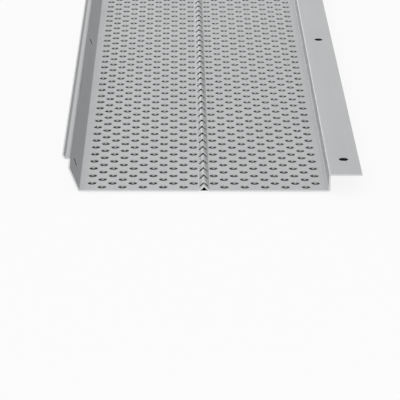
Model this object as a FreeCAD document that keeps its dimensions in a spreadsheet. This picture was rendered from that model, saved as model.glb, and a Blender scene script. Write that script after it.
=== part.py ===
# Perforated gutter guard: one strip of aluminium sheet, roll-formed and punched, in millimetres.
# X runs from the roof side to the gutter's front lip, Y runs along the strip and Z is up.
# The flat panel's underside lies on Z = 0, and the origin is under the middle of the whole strip.
import math
import os

import FreeCAD
import Part
import Sketcher

Vector = FreeCAD.Vector

# Driving dimensions. The section's sizes are between sharp corners of the sheet's upper side.
SIZES = {
    "sheet_thickness": 0.7,
    "guard_length": 914.4,
    "bend_radius": 0.25,
    "panel_width": 109.4,
    "ridge_width": 4.55,
    "ridge_height": 2.45,
    "front_wall_height": 7.4,
    "front_flange_width": 14.5,
    "slope_run": 3.95,
    "slope_rise": 10.25,
    "neck_lean": 0.45,
    "neck_rise": 4.8,
    "back_flange_width": 2.25,
    "lip_run": 0.8,
    "lip_rise": 1.6,
    "hole_diameter": 3.97,
    "hole_pitch": 4.49,
    "hole_side_margin": 5.0,
    "hole_end_margin": 3.5,
    "screw_hole_diameter": 4.2,
    "screw_hole_count": 6,
    "screw_end_margin": 18.45,
    "back_screw_height": 6.0,
}

# Sizes that follow from the driving dimensions
DERIVED = {
    "flat_width": "=(panel_width - ridge_width) / 2",
    "half_ridge": "=ridge_width / 2",
    "outside_radius": "=bend_radius + sheet_thickness",
    "half_columns": "=floor((panel_width / 2 - hole_side_margin) / hole_pitch)",
    "half_rows": "=floor((guard_length / 2 - hole_end_margin) / hole_pitch)",
    "screw_pitch": "=(guard_length - 2 * screw_end_margin) / (screw_hole_count - 1)",
    "front_screw_offset": "=(panel_width + sheet_thickness + front_flange_width) / 2",
}

# The section's straight stretches, back lip to front edge: cell of the run along X, its sense,
# cell of the rise along Z, its sense. A stretch with no run is upright, one with no rise is level.
STRETCHES = [
    ("lip_run", 1, "lip_rise", -1),
    ("back_flange_width", 1, None, 0),
    ("neck_lean", -1, "neck_rise", -1),
    ("slope_run", 1, "slope_rise", -1),
    ("flat_width", 1, None, 0),
    ("half_ridge", 1, "ridge_height", 1),
    ("half_ridge", 1, "ridge_height", -1),
    ("flat_width", 1, None, 0),
    (None, 0, "front_wall_height", 1),
    ("front_flange_width", 1, None, 0),
]
SLOPE_FOOT = 4
RIDGE_CREST = 6


def make_sheet(doc):
    sheet = doc.addObject("Spreadsheet::Sheet", "sizes")
    for row, (name, value) in enumerate({**SIZES, **DERIVED}.items(), start=1):
        sheet.set(f"A{row}", name)
        sheet.set(f"B{row}", str(value))
        sheet.setAlias(f"B{row}", name)
    doc.recompute()
    return sheet


def upper_corners(sizes):
    # Corners of the upper side, with the ridge's crest over X = 0.
    corners = [Vector(0, 0, 0)]
    for run, run_sense, rise, rise_sense in STRETCHES:
        step_x = run_sense * getattr(sizes, run) if run else 0
        step_z = rise_sense * getattr(sizes, rise) if rise else 0
        corners.append(corners[-1] + Vector(step_x, step_z, 0))
    crest = Vector(0, sizes.sheet_thickness + sizes.ridge_height, 0)
    shift = crest - corners[RIDGE_CREST]
    return [corner + shift for corner in corners]


def lower_corners(upper, thickness):
    # Each stretch moved square to itself by the thickness; neighbours meet on the bend's mitre.
    lower = []
    for index, corner in enumerate(upper):
        before = upper[max(index, 1)] - upper[max(index, 1) - 1]
        after = upper[min(index + 1, len(upper) - 1)] - upper[min(index, len(upper) - 2)]
        before.normalize()
        after.normalize()
        mitre = Vector(before.y + after.y, -before.x - after.x, 0)
        mitre.normalize()
        square = Vector(before.y, -before.x, 0)
        lower.append(corner + mitre * (thickness / mitre.dot(square)))
    return lower


def origin_plane(body, role):
    return next(plane for plane in body.Origin.OriginFeatures if plane.Role == role)


def bind(owner, name, cell):
    owner.setExpression(name, f"sizes.{cell}")


def fix_distance(sketch, kind, line, sense, cell, value):
    # The distance from a line's start to its end, positive in the sense given.
    first, second = (1, 2) if sense > 0 else (2, 1)
    index = sketch.addConstraint(Sketcher.Constraint(kind, line, first, line, second, value))
    bind(sketch, f"Constraints[{index}]", cell)


def draw_section(body, sizes):
    upper = upper_corners(sizes)
    lower = lower_corners(upper, sizes.sheet_thickness)
    outline = upper + lower[::-1]
    sketch = body.newObject("Sketcher::SketchObject", "section")
    sketch.AttachmentSupport = (origin_plane(body, "XZ_Plane"), [""])
    sketch.MapMode = "FlatFace"
    for start, end in zip(outline, outline[1:] + outline[:1]):
        sketch.addGeometry(Part.LineSegment(start, end), False)
    count = len(outline)
    for line in range(count):
        sketch.addConstraint(Sketcher.Constraint("Coincident", line, 2, (line + 1) % count, 1))
    for line, (run, run_sense, rise, rise_sense) in enumerate(STRETCHES):
        if rise is None:
            sketch.addConstraint(Sketcher.Constraint("Horizontal", line))
        else:
            fix_distance(sketch, "DistanceY", line, rise_sense, rise, getattr(sizes, rise))
        if run is None:
            sketch.addConstraint(Sketcher.Constraint("Vertical", line))
        else:
            fix_distance(sketch, "DistanceX", line, run_sense, run, getattr(sizes, run))
        partner = count - 2 - line
        sketch.addConstraint(Sketcher.Constraint("Parallel", line, partner))
        gap = Sketcher.Constraint("Distance", partner, 1, line, sizes.sheet_thickness)
        bind(sketch, f"Constraints[{sketch.addConstraint(gap)}]", "sheet_thickness")
    front_end = len(STRETCHES)
    sketch.addConstraint(Sketcher.Constraint("Perpendicular", front_end, front_end - 1))
    sketch.addConstraint(Sketcher.Constraint("Perpendicular", count - 1, 0))
    sketch.addConstraint(Sketcher.Constraint("PointOnObject", RIDGE_CREST, 1, -2))
    level = Sketcher.Constraint("DistanceY", -1, 1, SLOPE_FOOT, 1, sizes.sheet_thickness)
    bind(sketch, f"Constraints[{sketch.addConstraint(level)}]", "sheet_thickness")
    return sketch, upper, lower


def edges_along(shape, corners):
    # Names of the edges that run along the strip through these corners of the section.
    names = []
    for index, edge in enumerate(shape.Edges, start=1):
        middle = edge.CenterOfMass
        lengthwise = abs(edge.Vertexes[0].Point.y - edge.Vertexes[-1].Point.y) > 1
        if lengthwise and any(math.hypot(middle.x - c.x, middle.z - c.y) < 1e-4 for c in corners):
            names.append(f"Edge{index}")
    return names


def round_bends(doc, body, base, name, corners, radius_cell):
    fillet = body.newObject("PartDesign::Fillet", name)
    fillet.Base = (base, edges_along(base.Shape, corners))
    bind(fillet, "Radius", radius_cell)
    doc.recompute()
    return fillet


def form_strip(doc, sizes):
    body = doc.addObject("PartDesign::Body", "formed_strip")
    sketch, upper, lower = draw_section(body, sizes)
    pad = body.newObject("PartDesign::Pad", "strip_length")
    pad.Profile = sketch
    pad.Midplane = True
    bind(pad, "Length", "guard_length")
    sketch.Visibility = False
    doc.recompute()
    inside, outside = [], []
    for before, corner, after, under in zip(upper, upper[1:], upper[2:], lower[1:]):
        turn = (corner - before).cross(after - corner).z
        inside.append(corner if turn > 0 else under)
        outside.append(under if turn > 0 else corner)
    inner_bends = round_bends(doc, body, pad, "inside_bends", inside, "bend_radius")
    round_bends(doc, body, inner_bends, "outside_bends", outside, "outside_radius")
    return body, upper


def perforation_punches(sizes):
    # Round punches on a square grid turned 45 degrees: every second place of the half-pitch grid,
    # with the end rows punched through the ridge.
    height = 3 * (sizes.ridge_height + sizes.sheet_thickness)
    radius = sizes.hole_diameter / 2
    columns = range(-int(sizes.half_columns), int(sizes.half_columns) + 1)
    rows = range(-int(sizes.half_rows), int(sizes.half_rows) + 1)
    pitch = sizes.hole_pitch
    places = [(c * pitch, r * pitch) for r in rows for c in columns if (r - rows[0] + c) % 2 == 0]
    return [Part.makeCylinder(radius, height, Vector(x, y, -height / 3)) for x, y in places]


def screw_punches(sizes, upper):
    # One hole down through the front flange and one square through the back slope at each station.
    radius = sizes.screw_hole_diameter / 2
    reach = 4 * sizes.sheet_thickness
    foot = upper[SLOPE_FOOT]
    slope = upper[SLOPE_FOOT - 1] - foot
    on_slope = foot + slope * (sizes.back_screw_height / sizes.slope_rise)
    outward = Vector(slope.y, 0, -slope.x).normalize()
    front_top = sizes.sheet_thickness + sizes.front_wall_height
    first = sizes.screw_end_margin - sizes.guard_length / 2
    punches = []
    for station in range(int(sizes.screw_hole_count)):
        along = first + station * sizes.screw_pitch
        front = Vector(sizes.front_screw_offset, along, front_top - reach / 2)
        back = Vector(on_slope.x, along, on_slope.y) - outward * (reach / 2)
        punches.append(Part.makeCylinder(radius, reach, front, Vector(0, 0, 1)))
        punches.append(Part.makeCylinder(radius, reach, back, outward))
    return punches


def punch_guard(doc, strip, sizes, upper):
    punches = Part.makeCompound(perforation_punches(sizes) + screw_punches(sizes, upper))
    guard = doc.addObject("Part::Feature", "guard_panel")
    guard.Label = "guard_panel"
    guard.Shape = strip.Shape.cut(punches).Solids[0]
    box = strip.Shape.BoundBox
    guard.Placement = FreeCAD.Placement(Vector(-box.Center.x, -box.Center.y, 0), FreeCAD.Rotation())
    return guard


def export(doc, pieces):
    for item in doc.Objects:
        if "Invalid" in item.State or "Error" in item.State:
            raise RuntimeError(f"{item.Label} did not build: {item.State}")
    os.makedirs("parts", exist_ok=True)
    for piece in pieces:
        if piece.Shape.isNull() or not piece.Shape.isValid():
            raise RuntimeError(f"{piece.Label} has no valid shape")
        piece.Shape.exportStep(f"parts/{piece.Label}.step")


def main():
    doc = FreeCAD.newDocument("gutter_guard")
    sizes = make_sheet(doc)
    strip, upper = form_strip(doc, sizes)
    guard = punch_guard(doc, strip, sizes, upper)
    doc.recompute()
    export(doc, [guard])


main()
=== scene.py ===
import math

import bmesh
import bpy
import numpy as np
from mathutils import Matrix, Vector


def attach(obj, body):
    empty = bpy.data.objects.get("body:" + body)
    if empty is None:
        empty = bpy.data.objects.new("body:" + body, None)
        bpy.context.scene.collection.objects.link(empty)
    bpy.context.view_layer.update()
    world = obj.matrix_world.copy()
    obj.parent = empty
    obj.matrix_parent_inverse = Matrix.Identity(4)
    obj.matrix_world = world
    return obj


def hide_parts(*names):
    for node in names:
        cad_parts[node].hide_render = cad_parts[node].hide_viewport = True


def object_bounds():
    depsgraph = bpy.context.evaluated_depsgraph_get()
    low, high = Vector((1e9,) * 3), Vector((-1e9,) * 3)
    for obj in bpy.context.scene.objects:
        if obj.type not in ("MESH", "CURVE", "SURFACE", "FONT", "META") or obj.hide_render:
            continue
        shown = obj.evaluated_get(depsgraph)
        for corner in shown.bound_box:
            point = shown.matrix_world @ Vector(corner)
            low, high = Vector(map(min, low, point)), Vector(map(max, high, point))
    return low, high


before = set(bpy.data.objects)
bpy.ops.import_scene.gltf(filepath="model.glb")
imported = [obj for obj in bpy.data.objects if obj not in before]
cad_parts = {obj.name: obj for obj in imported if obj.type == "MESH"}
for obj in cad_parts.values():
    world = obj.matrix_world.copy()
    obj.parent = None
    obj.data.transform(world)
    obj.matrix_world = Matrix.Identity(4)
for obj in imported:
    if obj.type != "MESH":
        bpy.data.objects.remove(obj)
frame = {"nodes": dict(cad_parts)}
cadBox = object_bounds()
mm = 0.001
print("frame loaded:", ", ".join(frame["nodes"]))


def linearColour(hexText):
    channels = [int(hexText[i:i + 2], 16) / 255 for i in (1, 3, 5)]
    linear = [c / 12.92 if c <= 0.04045 else ((c + 0.055) / 1.055) ** 2.4 for c in channels]
    return (*linear, 1.0)


def addNode(tree, kind, settings=None, inputs=None):
    # an input takes a plain value, or a socket to link from
    node = tree.nodes.new(kind)
    for name, value in (settings or {}).items():
        setattr(node, name, value)
    for name, value in (inputs or {}).items():
        if isinstance(value, bpy.types.NodeSocket):
            tree.links.new(value, node.inputs[name])
        else:
            node.inputs[name].default_value = value
    return node


# Mill-finish aluminium coil, cold rolled: a satin pale grey, with faint rolling lines along the strip
sheetFinish = {
    "colour": "#C6C7C8",
    "roughness": 0.42,
    "roughnessSpread": 0.06,
    "lineWidth": 0.9,  # real rolling lines are under 0.1 mm, so these are drawn coarser to show
    "lineLength": 80.0,
    "lineContrast": 0.05,
    "lineDepth": 0.004,
    "cloudSize": 30.0,  # patches of stain from the rolling oil
}

# The same aluminium on the walls of the perforations: a pale scattering band under the rim, where the punch
# went in, and below it metal burnished smooth, which stretches a reflection up and down the wall
punchFinish = {
    "name": "punchedAluminium",
    "colour": "#D2D3D4",
    "metallic": 1.0,
    "roughness": 0.12,
    "rim": {"colour": "#F2F2F2", "metallic": 0.1, "roughness": 0.5},
    "bandDepth": (0.5, 0.6),  # where the band under the rim ends, as a share of the sheet's thickness
    "anisotropy": 0.9,
    "anisotropyTurn": 0.25,  # of a full turn, from level to upright
    "tearWidth": 0.25,  # real tears are finer, so these are drawn coarser to show
    "tearContrast": 0.08,
}

# The same aluminium along the outer edges: bare, dull and torn rough by the shears
shearFinish = {
    "name": "shearedAluminium",
    "colour": "#DADBDC",
    "metallic": 1.0,
    "roughness": 0.65,
    "tearWidth": 0.25,
    "tearContrast": 0.08,
}

# The walls of the screw holes: bright at the rim, and below it painted dark and dull, as painted shade inside
# the holes
pierceFinishAndShade = {
    "name": "piercedAluminiumPaintedShade",
    # near black below the rim: painted shade
    "colour": "#2C2C2D",
    "metallic": 0.0,
    "roughness": 0.6,
    "rim": {"colour": "#C6C7C8", "metallic": 0.5},
    "bandDepth": (0.25, 0.35),
    "tearWidth": 0.25,
    "tearContrast": 0.08,
}


def makeSheetMaterial(f):
    material = bpy.data.materials.new("millFinishAluminium")
    material.use_nodes = True
    tree = material.node_tree
    place = addNode(tree, "ShaderNodeTexCoord").outputs["Object"]
    across = 1 / (f["lineWidth"] * mm)
    stretched = addNode(tree, "ShaderNodeMapping", None, {
        "Vector": place,
        "Scale": (across, 1 / (f["lineLength"] * mm), across),
    })
    lines = addNode(tree, "ShaderNodeTexNoise", None, {
        "Vector": stretched.outputs[0],
        "Scale": 1.0,
        "Detail": 3.0,
    })
    clouds = addNode(tree, "ShaderNodeTexNoise", None, {
        "Vector": place,
        "Scale": 1 / (f["cloudSize"] * mm),
        "Detail": 4.0,
    })
    tone = addNode(tree, "ShaderNodeMapRange", None, {
        "Value": lines.outputs[0],
        "To Min": 1 - f["lineContrast"],
        "To Max": 1 + f["lineContrast"],
    })
    colour = addNode(tree, "ShaderNodeVectorMath", {"operation": "SCALE"}, {
        0: linearColour(f["colour"])[:3],
        "Scale": tone.outputs[0],
    })
    roughness = addNode(tree, "ShaderNodeMapRange", None, {
        "Value": clouds.outputs[0],
        "To Min": f["roughness"] - f["roughnessSpread"],
        "To Max": f["roughness"] + f["roughnessSpread"],
    })
    bump = addNode(tree, "ShaderNodeBump", None, {
        "Height": lines.outputs[0],
        "Distance": f["lineDepth"] * mm,
    })
    shader = tree.nodes["Principled BSDF"].inputs
    shader["Metallic"].default_value = 1.0
    tree.links.new(colour.outputs[0], shader["Base Color"])
    tree.links.new(roughness.outputs[0], shader["Roughness"])
    tree.links.new(bump.outputs[0], shader["Normal"])
    return material


def makeEdgeMaterial(f):
    material = bpy.data.materials.new(f["name"])
    material.use_nodes = True
    tree = material.node_tree
    shader = tree.nodes["Principled BSDF"].inputs
    shader["Metallic"].default_value = f["metallic"]
    shader["Roughness"].default_value = f["roughness"]
    colour = linearColour(f["colour"])[:3]
    if "rim" in f:
        # the band under the rim, by depth down the wall; on the screw holes the dark below the band is painted
        # shade
        depth = addNode(tree, "ShaderNodeAttribute", {"attribute_name": "wallDepth"}).outputs["Fac"]
        below = addNode(tree, "ShaderNodeMapRange", None, {
            "Value": depth,
            "From Min": f["bandDepth"][0],
            "From Max": f["bandDepth"][1],
        }).outputs[0]
        colour = addNode(tree, "ShaderNodeMix", {"data_type": "RGBA"}, {
            0: below,
            6: linearColour(f["rim"]["colour"]),
            7: linearColour(f["colour"]),
        }).outputs[2]
        for name in ("metallic", "roughness"):
            if name in f["rim"]:
                blend = addNode(tree, "ShaderNodeMapRange", None, {
                    "Value": below,
                    "To Min": f["rim"][name],
                    "To Max": f[name],
                })
                tree.links.new(blend.outputs[0], shader[name.capitalize()])
    tears = addNode(tree, "ShaderNodeTexNoise", None, {
        "Vector": addNode(tree, "ShaderNodeTexCoord").outputs["Object"],
        "Scale": 1 / (f["tearWidth"] * mm),
        "Detail": 2.0,
    })
    tone = addNode(tree, "ShaderNodeMapRange", None, {
        "Value": tears.outputs[0],
        "To Min": 1 - f["tearContrast"],
        "To Max": 1 + f["tearContrast"],
    })
    torn = addNode(tree, "ShaderNodeVectorMath", {"operation": "SCALE"}, {0: colour, "Scale": tone.outputs[0]})
    tree.links.new(torn.outputs[0], shader["Base Color"])
    if "anisotropy" in f:
        shader["Anisotropic"].default_value = f["anisotropy"]
        shader["Anisotropic Rotation"].default_value = f["anisotropyTurn"]
        normal = addNode(tree, "ShaderNodeNewGeometry").outputs["Normal"]
        level = addNode(tree, "ShaderNodeVectorMath", {"operation": "CROSS_PRODUCT"}, {
            0: normal,
            1: (0, 0, 1),
        })
        tree.links.new(level.outputs[0], shader["Tangent"])
    return material


finishes = {
    "sheet": makeSheetMaterial(sheetFinish),
    "punched": makeEdgeMaterial(punchFinish),
    "sheared": makeEdgeMaterial(shearFinish),
    "pierced": makeEdgeMaterial(pierceFinishAndShade),
}
print("materials made")

# The guard strip: sizes in millimetres, between sharp corners of the sheet's upper side
guard = {
    "length": 914.4,
    "thickness": 0.7,
    "bendRadius": 0.25,
    "bendStep": math.radians(12),  # turn of one facet of a bend
    "panelWidth": 109.4,
    "ridgeWidth": 4.55,
    "ridgeHeight": 2.45,
    "frontWall": 7.4,
    "frontFlange": 14.5,
    "slopeRun": 3.95,
    "slopeRise": 10.25,
    "neckLean": 0.45,
    "neckRise": 4.8,
    "backFlange": 2.25,
    "lipRun": 0.8,
    "lipRise": 1.6,
    "holeDiameter": 3.97,
    "holePitch": 4.49,
    "holeSides": 16,
    "halfColumns": 11,  # columns of holes each side of the ridge
    "halfRows": 101,  # rows of holes each side of the middle
    "screwDiameter": 4.2,
    "screwSides": 24,
    "screwCount": 6,
    "screwEndMargin": 18.45,
    "backScrewHeight": 6.0,  # up the back slope from its foot
    "weld": 0.002,  # points closer than this are one
    "sharpAngle": math.radians(30),  # a turn past this is an edge
}


def makePunchTree():
    # one stretch of the section, laid out flat, punched with a staggered grid of round holes
    # and bent into place
    tree = bpy.data.node_groups.new("punchedStretch", "GeometryNodeTree")
    sockets = {
        "Start": "Vector",
        "End": "Vector",
        "Under start": "Vector",
        "Under end": "Vector",
        "Width": "Float",
        "Length": "Float",
        "Hole radius": "Float",
        "Hole sides": "Int",
        "First hole": "Vector",
        "Pitch": "Vector",
        "Columns": "Int",
        "Rows": "Int",
        "Stagger": "Int",
        "Round": "Bool",
        "Sheet": "Material",
    }
    for name, kind in sockets.items():
        tree.interface.new_socket(name, in_out="INPUT", socket_type="NodeSocket" + kind)
    tree.interface.new_socket("Mesh", in_out="OUTPUT", socket_type="NodeSocketGeometry")
    given = addNode(tree, "NodeGroupInput").outputs

    # places of the holes: every second place of a grid of rows and columns
    index = addNode(tree, "GeometryNodeInputIndex").outputs[0]
    column = addNode(tree, "FunctionNodeIntegerMath", {"operation": "DIVIDE_FLOOR"}, {
        0: index,
        1: given["Rows"],
    })
    row = addNode(tree, "FunctionNodeIntegerMath", {"operation": "MODULO"}, {0: index, 1: given["Rows"]})
    steps = addNode(tree, "ShaderNodeCombineXYZ", None, {"X": column.outputs[0], "Y": row.outputs[0]})
    place = addNode(tree, "ShaderNodeVectorMath", {"operation": "MULTIPLY_ADD"}, {
        0: steps.outputs[0],
        1: given["Pitch"],
        2: given["First hole"],
    })
    count = addNode(tree, "FunctionNodeIntegerMath", {"operation": "MULTIPLY"}, {
        0: given["Columns"],
        1: given["Rows"],
    })
    places = addNode(tree, "GeometryNodePoints", None, {
        "Count": count.outputs[0],
        "Position": place.outputs[0],
    })
    diagonal = addNode(tree, "FunctionNodeIntegerMath", {"operation": "ADD"}, {
        0: column.outputs[0],
        1: row.outputs[0],
    })
    shifted = addNode(tree, "FunctionNodeIntegerMath", {"operation": "ADD"}, {
        0: diagonal.outputs[0],
        1: given["Stagger"],
    })
    chosen = addNode(tree, "FunctionNodeIntegerMath", {"operation": "MODULO"}, {0: shifted.outputs[0], 1: 2})
    punch = addNode(tree, "GeometryNodeCurvePrimitiveCircle", {"mode": "RADIUS"}, {
        "Resolution": given["Hole sides"],
        "Radius": given["Hole radius"],
    })
    punches = addNode(tree, "GeometryNodeInstanceOnPoints", None, {
        "Points": places.outputs[0],
        "Selection": chosen.outputs[0],
        "Instance": punch.outputs[0],
    })
    holes = addNode(tree, "GeometryNodeRealizeInstances", None, {"Geometry": punches.outputs[0]})

    # the flat blank, filled between its outline and the holes
    blank = addNode(tree, "GeometryNodeCurvePrimitiveQuadrilateral", {"mode": "RECTANGLE"}, {
        "Width": given["Width"],
        "Height": given["Length"],
    })
    half = addNode(tree, "ShaderNodeVectorMath", {"operation": "SCALE"}, {
        0: (0.5, 0, 0),
        "Scale": given["Width"],
    })
    outline = addNode(tree, "GeometryNodeTransform", None, {
        "Geometry": blank.outputs[0],
        "Translation": half.outputs[0],
    })
    curves = addNode(tree, "GeometryNodeJoinGeometry", None, {"Geometry": outline.outputs[0]})
    tree.links.new(holes.outputs[0], curves.inputs[0])
    filled = addNode(tree, "GeometryNodeFillCurve", None, {"Curve": curves.outputs[0]})

    # a hole that reaches past the side of its stretch is trimmed there
    position = addNode(tree, "GeometryNodeInputPosition").outputs[0]
    spot = addNode(tree, "ShaderNodeSeparateXYZ", None, {"Vector": position}).outputs
    share = addNode(tree, "ShaderNodeMath", {"operation": "DIVIDE"}, {
        0: spot["X"],
        1: given["Width"],
    }).outputs[0]
    inside = addNode(tree, "ShaderNodeMath", {"operation": "COMPARE"}, {0: share, 1: 0.5, 2: 0.5})
    trimmed = addNode(tree, "GeometryNodeSeparateGeometry", {"domain": "FACE"}, {
        "Geometry": filled.outputs[0],
        "Selection": inside.outputs[0],
    })

    # bent into place; each point also keeps its partner on the underside
    along = addNode(tree, "ShaderNodeCombineXYZ", None, {"Y": spot["Y"]}).outputs[0]
    overTop = addNode(tree, "ShaderNodeMix", {"data_type": "VECTOR", "clamp_factor": False}, {
        0: share,
        4: given["Start"],
        5: given["End"],
    })
    underneath = addNode(tree, "ShaderNodeMix", {"data_type": "VECTOR", "clamp_factor": False}, {
        0: share,
        4: given["Under start"],
        5: given["Under end"],
    })
    upper = addNode(tree, "ShaderNodeVectorMath", {"operation": "ADD"}, {0: overTop.outputs[1], 1: along})
    under = addNode(tree, "ShaderNodeVectorMath", {"operation": "ADD"}, {0: underneath.outputs[1], 1: along})
    paired = addNode(tree, "GeometryNodeStoreNamedAttribute", {
        "data_type": "FLOAT_VECTOR",
        "domain": "POINT",
    }, {
        "Geometry": trimmed.outputs[0],
        "Name": "underside",
        "Value": under.outputs[0],
    })
    bent = addNode(tree, "GeometryNodeSetPosition", None, {
        "Geometry": paired.outputs[0],
        "Position": upper.outputs[0],
    })
    shaded = addNode(tree, "GeometryNodeSetShadeSmooth", None, {
        "Geometry": bent.outputs[0],
        "Shade Smooth": given["Round"],
    })
    realized = addNode(tree, "GeometryNodeRealizeInstances", None, {"Geometry": shaded.outputs[0]})
    dressed = addNode(tree, "GeometryNodeSetMaterial", None, {
        "Geometry": realized.outputs[0],
        "Material": given["Sheet"],
    })
    addNode(tree, "NodeGroupOutput", None, {"Mesh": dressed.outputs[0]})
    return tree


def sectionCorners(g):
    # sharp corners of the upper side about the ridge's crest, from the back lip to the front edge
    halfPanel = g["panelWidth"] / 2
    halfRidge = g["ridgeWidth"] / 2
    top = g["thickness"]
    slopeHead = -halfPanel - g["slopeRun"]
    neckHead = slopeHead + g["neckLean"]
    lipFoot = neckHead - g["backFlange"]
    backTop = top + g["slopeRise"] + g["neckRise"]
    frontTop = top + g["frontWall"]
    corners = {
        "lipTip": (lipFoot - g["lipRun"], backTop + g["lipRise"]),
        "lipFoot": (lipFoot, backTop),
        "neckHead": (neckHead, backTop),
        "slopeHead": (slopeHead, top + g["slopeRise"]),
        "slopeFoot": (-halfPanel, top),
        "ridgeBack": (-halfRidge, top),
        "ridgeCrest": (0, top + g["ridgeHeight"]),
        "ridgeFront": (halfRidge, top),
        "wallFoot": (halfPanel, top),
        "wallHead": (halfPanel, frontTop),
        "frontEdge": (halfPanel + g["frontFlange"], frontTop),
    }
    return {name: Vector(corner) for name, corner in corners.items()}


def bendPoints(before, corner, after, g):
    # pairs of points on the upper side and the underside, round one bend
    into = (corner - before).normalized()
    turn = into.angle_signed(after - corner)  # clockwise is positive, so a turn downwards
    upperRadius = g["bendRadius"] + (g["thickness"] if turn > 0 else 0)
    underRadius = g["bendRadius"] + (g["thickness"] if turn < 0 else 0)
    outward = Vector((-into.y, into.x)) * math.copysign(1, turn)
    start = corner - into * upperRadius * math.tan(abs(turn) / 2)
    centre = start - outward * upperRadius
    facets = math.ceil(abs(turn) / g["bendStep"])
    spokes = [Matrix.Rotation(-turn * step / facets, 2) @ outward for step in range(facets + 1)]
    return [(centre + spoke * upperRadius, centre + spoke * underRadius) for spoke in spokes]


def endPoints(end, inner, g):
    # a cut end of the section, square to the sheet
    along = (end - inner).normalized() * math.copysign(g["thickness"], end.x - inner.x)
    return [(end, end + Vector((along.y, -along.x)))]


def sectionStretches(g):
    # each flat stretch and bend facet in order: its hole layout and its pairs of points at both sides
    corners = sectionCorners(g)
    names = list(corners)
    spots = list(corners.values())
    bends = {names[0]: endPoints(spots[0], spots[1], g), names[-1]: endPoints(spots[-1], spots[-2], g)}
    for name, before, corner, after in zip(names[1:], spots, spots[1:], spots[2:]):
        bends[name] = bendPoints(before, corner, after, g)
    # the ridge's holes are punched straight down, so there the underside's points lie below the upper ones
    ridge = ("ridgeBack", "ridgeCrest", "ridgeFront")
    profile = np.array([under for name in ridge for _, under in bends[name]])
    for name in ridge:
        bends[name] = [(upper, Vector((upper.x, np.interp(upper.x, *profile.T)))) for upper, _ in bends[name]]
    layouts = {  # by the corner where the stretch starts
        "slopeHead": "backSlope",
        "slopeFoot": "backPanel",
        "ridgeBack": "ridge",
        "ridgeCrest": "ridge",
        "ridgeFront": "frontPanel",
        "wallHead": "frontFlange",
    }
    stretches = []
    for name, after in zip(names, names[1:]):
        stretches.append((layouts.get(name, "plain"), bends[name][-1], bends[after][0]))
        facets = zip(bends[after], bends[after][1:])
        stretches += [("crest" if after == "ridgeCrest" else "bend", start, end) for start, end in facets]
    return stretches


def holeLayout(kind, start, g):
    # first hole, columns and stagger, in the flat stretch that begins at this point
    corners = sectionCorners(g)
    slope = corners["slopeHead"] - corners["slopeFoot"]
    backScrew = corners["slopeFoot"] + slope * g["backScrewHeight"] / g["slopeRise"]
    frontScrew = (g["panelWidth"] + g["thickness"] + g["frontFlange"]) / 2  # middle of the flange
    return {
        "backSlope": ((backScrew - start).length, 1, 1),
        "backPanel": (-g["halfColumns"] * g["holePitch"] - start.x, g["halfColumns"], 0),
        "ridge": (-start.x, 1, 1),
        "crest": (-start.x, 1, 1),
        "frontPanel": (g["holePitch"] - start.x, g["halfColumns"], 0),
        "frontFlange": (frontScrew - start.x, 1, 1),
    }.get(kind, (0, 0, 0))


def punchValues(kind, start, end, g):
    # inputs of the punch tree for one stretch
    firstColumn, columns, stagger = holeLayout(kind, start[0], g)
    values = {
        "Start": (start[0].x, 0, start[0].y),
        "End": (end[0].x, 0, end[0].y),
        "Under start": (start[1].x, 0, start[1].y),
        "Under end": (end[1].x, 0, end[1].y),
        "Width": end[0].x - start[0].x if kind in ("ridge", "crest") else (end[0] - start[0]).length,
        "Length": g["length"],
        "Columns": columns,
        "Stagger": stagger,
        "Round": kind in ("bend", "crest"),
    }
    if kind in ("backSlope", "frontFlange"):
        # every second place along the strip is punched, so the places are half a screw pitch apart
        rows = 2 * g["screwCount"] - 1
        rowPitch = (g["length"] - 2 * g["screwEndMargin"]) / (rows - 1)
        values["Hole radius"] = g["screwDiameter"] / 2
        values["Hole sides"] = g["screwSides"]
    else:
        rows = 2 * g["halfRows"] + 1
        rowPitch = g["holePitch"]
        values["Hole radius"] = g["holeDiameter"] / 2
        values["Hole sides"] = g["holeSides"]
    values["Rows"] = rows
    values["Pitch"] = (g["holePitch"], rowPitch, 0)
    values["First hole"] = (firstColumn, -rowPitch * (rows - 1) / 2, 0)
    return values


def punchedMesh(tree, values):
    # runs the tree once and gives a plain mesh, in millimetres
    carrier = bpy.data.objects.new("punchedStretch", bpy.data.meshes.new("punchedStretch"))
    bpy.context.collection.objects.link(carrier)
    modifier = carrier.modifiers.new("punchedStretch", "NODES")
    modifier.node_group = tree
    for item in tree.interface.items_tree:
        if item.in_out == "INPUT":
            modifier[item.identifier] = values[item.name]
    mesh = bpy.data.meshes.new_from_object(carrier.evaluated_get(bpy.context.evaluated_depsgraph_get()))
    bpy.data.objects.remove(carrier)
    return mesh


def edgeFinish(first, second, g):
    # a hole's edges are short, and only the screw holes lie outside the panel
    atEnd = min(abs(first.co.y), abs(second.co.y)) > g["length"] / 2 - g["weld"]
    if atEnd or (second.co - first.co).length > g["holeDiameter"]:
        return "sheared"
    return "pierced" if abs(first.co.x) > g["panelWidth"] / 2 else "punched"


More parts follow.
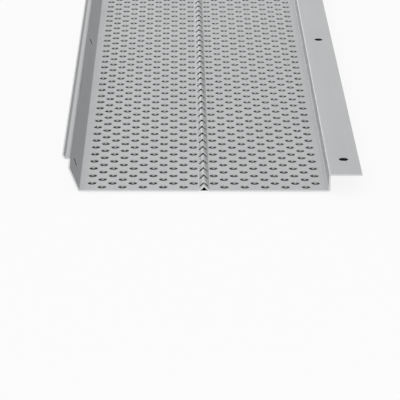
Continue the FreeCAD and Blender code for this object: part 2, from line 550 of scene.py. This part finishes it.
def makeGuardPanel(g, materials):
    tree = makePunchTree()
    sheet = bmesh.new()
    for kind, start, end in sectionStretches(g):
        stretch = punchedMesh(tree, {**punchValues(kind, start, end, g), "Sheet": materials["sheet"]})
        sheet.from_mesh(stretch)
        bpy.data.meshes.remove(stretch)
    bmesh.ops.remove_doubles(sheet, verts=sheet.verts, dist=g["weld"])
    bmesh.ops.recalc_face_normals(sheet, faces=sheet.faces)
    if sum(face.normal.z * face.calc_area() for face in sheet.faces) < 0:
        bmesh.ops.reverse_faces(sheet, faces=sheet.faces)

    # the underside, and the cut edges between the two sides
    wallDepth = sheet.verts.layers.float.new("wallDepth")  # 0 on the upper side, 1 on the underside
    partner = sheet.verts.layers.float_vector["underside"]
    upperFaces = list(sheet.faces)
    cutEdges = [edge.link_loops[0] for edge in sheet.edges if edge.is_boundary]
    cutEdges = [(loop.vert, loop.link_loop_next.vert) for loop in cutEdges]
    under = {vert: sheet.verts.new(vert[partner]) for vert in list(sheet.verts)}
    for vert in under.values():
        vert[wallDepth] = 1.0
    for face in upperFaces:
        copy = sheet.faces.new([under[vert] for vert in reversed(face.verts)])
        copy.smooth = face.smooth
    slots = list(materials)
    for first, second in cutEdges:
        wall = sheet.faces.new((second, first, under[first], under[second]))
        wall.material_index = slots.index(edgeFinish(first, second, g))
        wall.smooth = True
    frontEdge = sectionCorners(g)["frontEdge"].x
    toFrame = Matrix.Translation((cadBox[1][0] - frontEdge * mm, 0, 0)) @ Matrix.Scale(mm, 4)
    bmesh.ops.transform(sheet, matrix=toFrame, verts=sheet.verts)
    mesh = bpy.data.meshes.new("guardPanel")
    sheet.to_mesh(mesh)
    sheet.free()
    mesh.attributes.remove(mesh.attributes["underside"])
    for material in materials.values():
        mesh.materials.append(material)
    mesh.set_sharp_from_angle(angle=g["sharpAngle"])
    piece = bpy.data.objects.new("guardPanel", mesh)
    bpy.context.collection.objects.link(piece)
    mesh.calc_loop_triangles()
    print("guard panel made:", len(mesh.loop_triangles), "triangles")
    return piece


guardPanel = makeGuardPanel(guard, finishes)
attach(guardPanel, "root")
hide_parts("guard_panel")

# Stage: a pale floor, and dark polished boards close under the strip, which show through its holes as painted
# shade: they stand in for the shade below the strip
stage = {
    "floor": {"name": "paleFloor", "colour": "#F7F7F7", "roughness": 0.9, "metallic": 0.0},
    "floorGlow": 0.88,  # share of plain white that the camera sees; the rest keeps the strip's shadow
    "floorSize": 8.0,  # metres
    "floorDrop": 1.0,  # mm below the strip
    # a dark mirror sheet: painted shade, put where there is only shade under the strip
    "board": {"name": "paintedShadeBoard", "colour": "#4A4A4A", "roughness": 0.05, "metallic": 1.0},
    "boardDrop": 0.02,  # mm below the sheet's underside
    "boardInset": 1.0,  # mm from the edges of what it lies under, so that it stays out of sight
}


def makeStageMaterial(f):
    material = bpy.data.materials.new(f["name"])
    material.use_nodes = True
    shader = material.node_tree.nodes["Principled BSDF"].inputs
    shader["Base Color"].default_value = linearColour(f["colour"])
    shader["Roughness"].default_value = f["roughness"]
    shader["Metallic"].default_value = f["metallic"]
    return material


def addGlow(material, glow):
    # what the camera sees, straight or by reflection, is mixed with plain white
    tree = material.node_tree
    rays = addNode(tree, "ShaderNodeLightPath").outputs
    direct = addNode(tree, "ShaderNodeMath", {"operation": "MAXIMUM"}, {
        0: rays["Is Camera Ray"],
        1: rays["Is Glossy Ray"],
    })
    seen = addNode(tree, "ShaderNodeMath", {"operation": "MAXIMUM"}, {
        0: direct.outputs[0],
        1: rays["Is Transmission Ray"],
    })
    share = addNode(tree, "ShaderNodeMath", {"operation": "MULTIPLY"}, {0: seen.outputs[0], 1: glow})
    white = addNode(tree, "ShaderNodeEmission", None, {"Color": (1, 1, 1, 1), "Strength": 1.0})
    mix = addNode(tree, "ShaderNodeMixShader", None, {
        0: share.outputs[0],
        1: tree.nodes["Principled BSDF"].outputs[0],
        2: white.outputs[0],
    })
    tree.links.new(mix.outputs[0], tree.nodes["Material Output"].inputs["Surface"])


def makePlane(name, low, high, height, material):
    mesh = bpy.data.meshes.new(name)
    corners = [(low[0], low[1]), (high[0], low[1]), (high[0], high[1]), (low[0], high[1])]
    mesh.from_pydata([(x, y, height) for x, y in corners], [], [(0, 1, 2, 3)])
    mesh.materials.append(material)
    plane = bpy.data.objects.new(name, mesh)
    bpy.context.collection.objects.link(plane)


floorMaterial = makeStageMaterial(stage["floor"])
addGlow(floorMaterial, stage["floorGlow"])
halfFloor = stage["floorSize"] / 2
makePlane("floor", (-halfFloor, -halfFloor), (halfFloor, halfFloor), -stage["floorDrop"] * mm, floorMaterial)

# the boards are painted shade: dark sheets under the panel and the flange, seen through the holes
shadeBoardMaterial = makeStageMaterial(stage["board"])
crestX = cadBox[1][0] - sectionCorners(guard)["frontEdge"].x * mm
halfPanel = guard["panelWidth"] / 2
boards = {  # back edge, front edge and underside of the stretch above, from the crest
    "panelShadeBoard": (-halfPanel, halfPanel, 0.0),
    "flangeShadeBoard": (halfPanel + guard["thickness"], halfPanel + guard["frontFlange"], guard["frontWall"]),
}
boardEnd = (guard["length"] / 2 - stage["boardInset"]) * mm
for name, (back, front, underside) in boards.items():
    low = (crestX + (back + stage["boardInset"]) * mm, -boardEnd)
    high = (crestX + (front - stage["boardInset"]) * mm, boardEnd)
    makePlane(name, low, high, (underside - stage["boardDrop"]) * mm, shadeBoardMaterial)
print("stage set")

# Soft studio light: a dome that is white overhead and dimmer to the left and right, a low wide strip lamp
# in front and a small lamp at the back left
light = {
    # the dome's strength by place, from the far left over the top to the far right
    "dome": {0.0: 0.5, 0.16: 0.84, 0.3: 0.86, 0.46: 0.98, 0.7: 0.61, 0.9: 0.48, 1.0: 0.3},
    "aim": (0.0, -0.3, 0.0),
    "frontLamp": {"place": (-0.05, -2.2, 0.66), "size": (2.0, 0.36), "power": 6.6},
    "backLamp": {"place": (-1.1, 2.5, 0.5), "size": (0.7, 0.7), "power": 3.0},
}


def makeLight(s):
    world = bpy.data.worlds.new("studio")
    bpy.context.scene.world = world
    world.use_nodes = True
    tree = world.node_tree
    direction = addNode(tree, "ShaderNodeTexCoord").outputs["Generated"]
    across = addNode(tree, "ShaderNodeSeparateXYZ", None, {"Vector": direction}).outputs["X"]
    place = addNode(tree, "ShaderNodeMapRange", None, {"Value": across, "From Min": -1.0})
    ramp = addNode(tree, "ShaderNodeValToRGB", None, {"Fac": place.outputs[0]})
    stops = ramp.color_ramp.elements
    while len(stops) < len(s["dome"]):
        stops.new(1.0)  # gets its place below
    for stop, (position, strength) in zip(stops, s["dome"].items()):
        stop.position = position
        stop.color = (strength, strength, strength, 1)
    tree.links.new(ramp.outputs["Color"], tree.nodes["Background"].inputs["Color"])
    for name in ("frontLamp", "backLamp"):
        lamp = bpy.data.objects.new(name, bpy.data.lights.new(name, "AREA"))
        lamp.data.shape = "RECTANGLE"
        lamp.data.size, lamp.data.size_y = s[name]["size"]
        lamp.data.energy = s[name]["power"]
        lamp.location = s[name]["place"]
        lamp.rotation_euler = (Vector(s["aim"]) - lamp.location).to_track_quat("-Z", "Y").to_euler()
        bpy.context.collection.objects.link(lamp)


makeLight(light)

# Camera, from the grid of holes: millimetres from the crest, over the first row of holes
view = {
    "focalPixels": 2028.8,
    "framePixels": 400,
    "sensor": 36.0,
    "clipEnd": 50.0,
    "pitch": math.radians(22.164),
    "yaw": math.radians(0.667),
    "roll": math.radians(0.301),
    "offset": (-11.38, -828.63, 332.03),
}


def makeCamera(v):
    data = bpy.data.cameras.new("camera")
    data.sensor_width = v["sensor"]
    data.lens = v["focalPixels"] / v["framePixels"] * v["sensor"]
    data.clip_end = v["clipEnd"]
    camera = bpy.data.objects.new("camera", data)
    firstRow = -guard["halfRows"] * guard["holePitch"] * mm
    place = Vector((crestX, firstRow, 0)) + Vector(v["offset"]) * mm
    turn = Matrix.Rotation(-v["yaw"], 3, "Z") @ Matrix.Rotation(math.pi / 2 - v["pitch"], 3, "X")
    turn = turn @ Matrix.Rotation(v["roll"], 3, "Z")
    camera.matrix_world = Matrix.Translation(place) @ turn.to_4x4()
    bpy.context.collection.objects.link(camera)
    bpy.context.scene.camera = camera


makeCamera(view)
bpy.context.scene.view_settings.view_transform = "Standard"
print("light and camera set")
